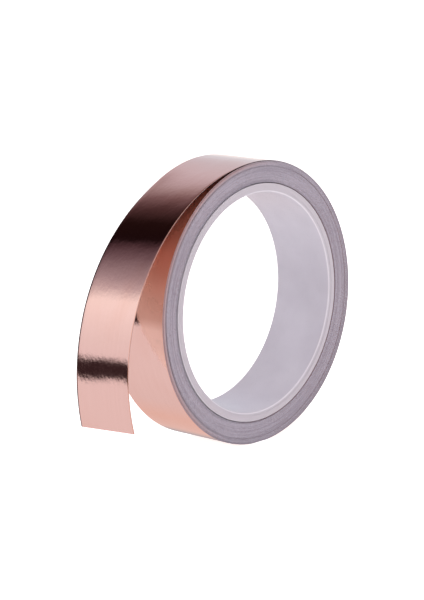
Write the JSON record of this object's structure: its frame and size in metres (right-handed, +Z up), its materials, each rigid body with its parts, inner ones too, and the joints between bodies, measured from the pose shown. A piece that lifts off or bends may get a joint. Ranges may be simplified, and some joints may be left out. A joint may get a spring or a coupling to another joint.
{
  "type": "copper foil tape roll",
  "caption": "Roll of copper foil tape wound on a plastic core, with its loose end curving away from the roll and the foil lifting off its liner.",
  "frame": {"origin": "centre of the core's bore, halfway along it", "axes": "Y along the roll's axis, with the near side facing -Y; +Z up; the loose end leaves the top of the roll and hangs on the -X side"},
  "size_m": [0.1137, 0.0244, 0.098],
  "materials": {
    "core_plastic": "satin",
    "start_tape": "matte",
    "wound_edge": "matte",
    "copper": "satin",
    "adhesive": "gloss",
    "liner": "satin"
  },
  "bodies": {
    "roll": {"core": "core_plastic", "start_strip": "start_tape", "inner_turns": "wound_edge", "outer_turns": "wound_edge", "last_turn_foil": "copper", "last_turn_adhesive": "adhesive", "last_turn_liner": "liner"},
    "tail_near": {"tail_foil_1": "copper", "tail_adhesive_1": "adhesive", "tail_liner_1": "liner"},
    "tail_mid": {"tail_foil_2": "copper", "tail_adhesive_2": "adhesive", "tail_liner_2": "liner"},
    "tail_far": {"tail_foil_3": "copper", "tail_adhesive_3": "adhesive", "tail_liner_3": "liner"},
    "foil_end": {"end_foil": "copper", "end_adhesive": "adhesive"}
  },
  "joints": [
    {"name": "tail_lift", "type": "hinge", "parent": "roll", "child": "tail_near", "pos_m": [-0.02505, 0, 0.04339], "axis": [0, 1, 0], "range_deg": [-6, 30]},
    {"name": "tail_bend_mid", "type": "hinge", "parent": "tail_near", "child": "tail_mid", "pos_m": [-0.04972, 0, 0.02459], "axis": [0, 1, 0], "range_deg": [-6, 30]},
    {"name": "tail_bend_far", "type": "hinge", "parent": "tail_mid", "child": "tail_far", "pos_m": [-0.06318, 0, -0.00336], "axis": [0, 1, 0], "range_deg": [-6, 30]},
    {"name": "foil_peel", "type": "hinge", "parent": "tail_far", "child": "foil_end", "pos_m": [-0.06464, 0, -0.01958], "axis": [0, 1, 0], "range_deg": [0, 60]}
  ],
  "couplings": [
    {"joint": "tail_bend_mid", "follows": "tail_lift", "ratio": 1},
    {"joint": "tail_bend_far", "follows": "tail_lift", "ratio": 1}
  ]
}
